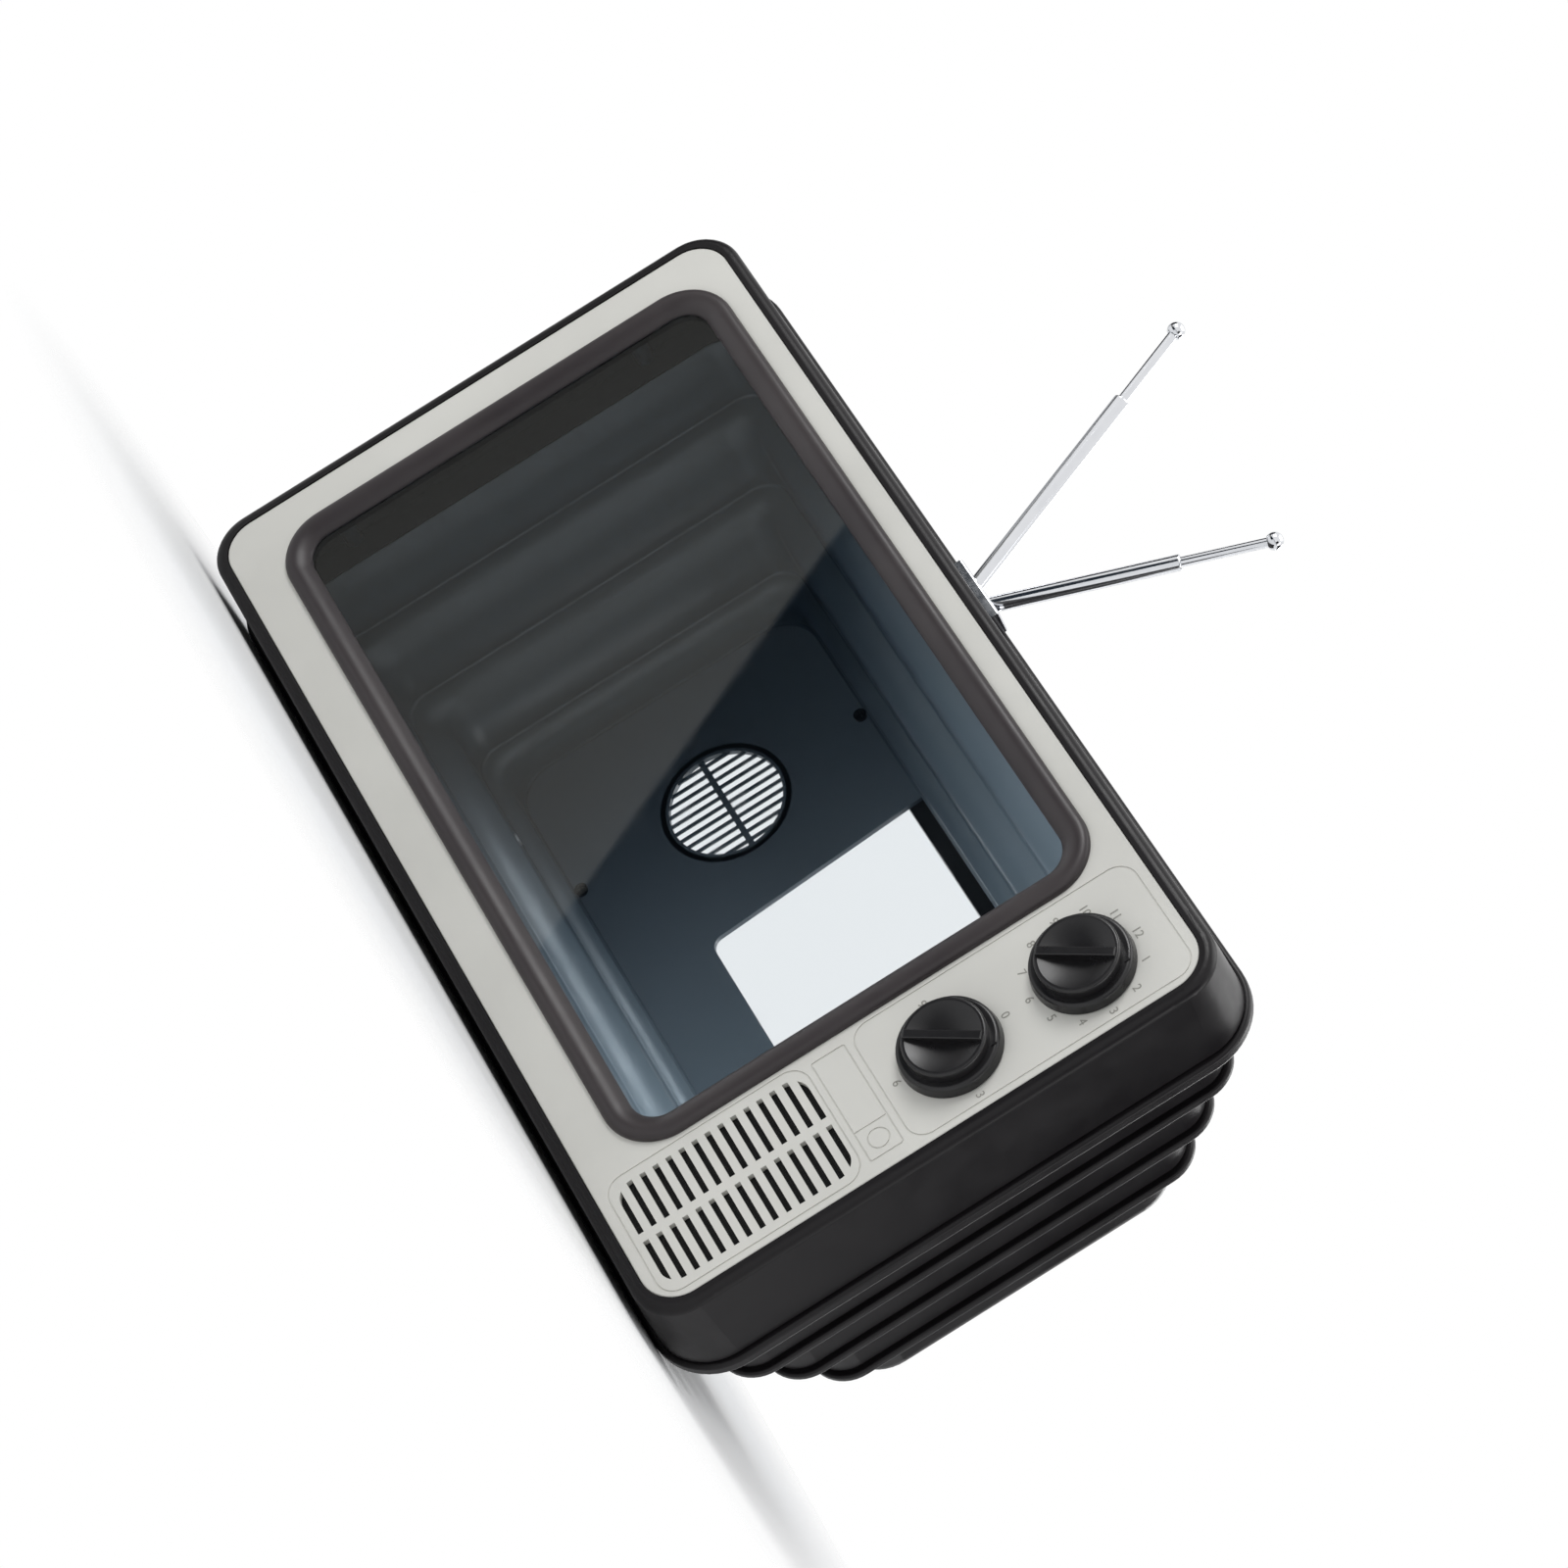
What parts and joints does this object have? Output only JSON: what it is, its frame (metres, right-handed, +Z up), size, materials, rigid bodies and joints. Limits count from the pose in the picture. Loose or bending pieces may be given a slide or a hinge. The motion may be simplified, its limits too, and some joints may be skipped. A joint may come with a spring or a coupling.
{
  "type": "portable television case",
  "caption": "Landscape retro television case with a clear window, turning knobs, slotted grille, stepped vented back and telescopic rods.",
  "frame": {"origin": "middle of the footprint, on the surface the case stands on", "axes": "+X to the right as the viewer faces the window, +Y from the window to the back, +Z up"},
  "size_m": [0.419, 0.1972, 0.3604],
  "materials": {
    "black_plastic": "satin moulded",
    "cream_plastic": "fine texture",
    "bezel_plastic": "satin moulded",
    "knob_plastic": "satin moulded",
    "clear_acrylic": "clear polished",
    "black_rubber": "matt",
    "grille_cloth": "woven",
    "chrome": "polished plating",
    "steel": "zinc plated"
  },
  "bodies": {
    "cabinet": {"front_shell": "black_plastic", "face_panel": "cream_plastic", "bezel": "bezel_plastic", "window_pane": "clear_acrylic", "window_gasket": "black_rubber", "pane_retainer": "black_plastic", "retainer_screws": "steel", "grille_backing": "grille_cloth", "rear_shell": "black_plastic", "back_panel": "black_plastic", "vent_left": "black_plastic", "vent_right": "black_plastic", "case_screws": "steel", "back_screws": "steel", "rear_feet": "black_plastic", "foot_pads": "black_rubber", "foot_screws": "steel", "antenna_base": "chrome", "antenna_pins": "steel", "upper_knob_bush": "steel", "upper_knob_nut": "steel", "lower_knob_bush": "steel", "lower_knob_nut": "steel"},
    "upper_knob": {"upper_knob_skirt": "knob_plastic", "upper_knob_cap": "knob_plastic", "upper_knob_shaft": "steel", "upper_knob_clip": "steel"},
    "lower_knob": {"lower_knob_skirt": "knob_plastic", "lower_knob_cap": "knob_plastic", "lower_knob_shaft": "steel", "lower_knob_clip": "steel"},
    "left_rod": {"left_outer_tube": "chrome"},
    "left_inner": {"left_inner_tube": "chrome", "left_rod_tip": "chrome"},
    "right_rod": {"right_outer_tube": "chrome"},
    "right_inner": {"right_inner_tube": "chrome", "right_rod_tip": "chrome"}
  },
  "joints": [
    {"name": "upper_knob_turn", "type": "hinge", "parent": "cabinet", "child": "upper_knob", "pos_m": [0.1726, -0.0904, 0.1943], "axis": [0, -1, 0], "continuous": true},
    {"name": "lower_knob_turn", "type": "hinge", "parent": "cabinet", "child": "lower_knob", "pos_m": [0.1726, -0.0904, 0.1408], "axis": [0, -1, 0], "range_deg": [-112, 188]},
    {"name": "left_rod_swing", "type": "hinge", "parent": "cabinet", "child": "left_rod", "pos_m": [-0.0121, -0.056, 0.2381], "axis": [0, 1, 0], "range_deg": [-16, 19]},
    {"name": "left_rod_slide", "type": "slide", "parent": "left_rod", "child": "left_inner", "axis": [-0.4067, 0, 0.9135], "range_m": [-0.031, 0.018]},
    {"name": "right_rod_swing", "type": "hinge", "parent": "cabinet", "child": "right_rod", "pos_m": [-0.0041, -0.056, 0.2381], "axis": [0, 1, 0], "range_deg": [-19, 16]},
    {"name": "right_rod_slide", "type": "slide", "parent": "right_rod", "child": "right_inner", "axis": [0.4067, 0, 0.9135], "range_m": [-0.031, 0.018]}
  ]
}
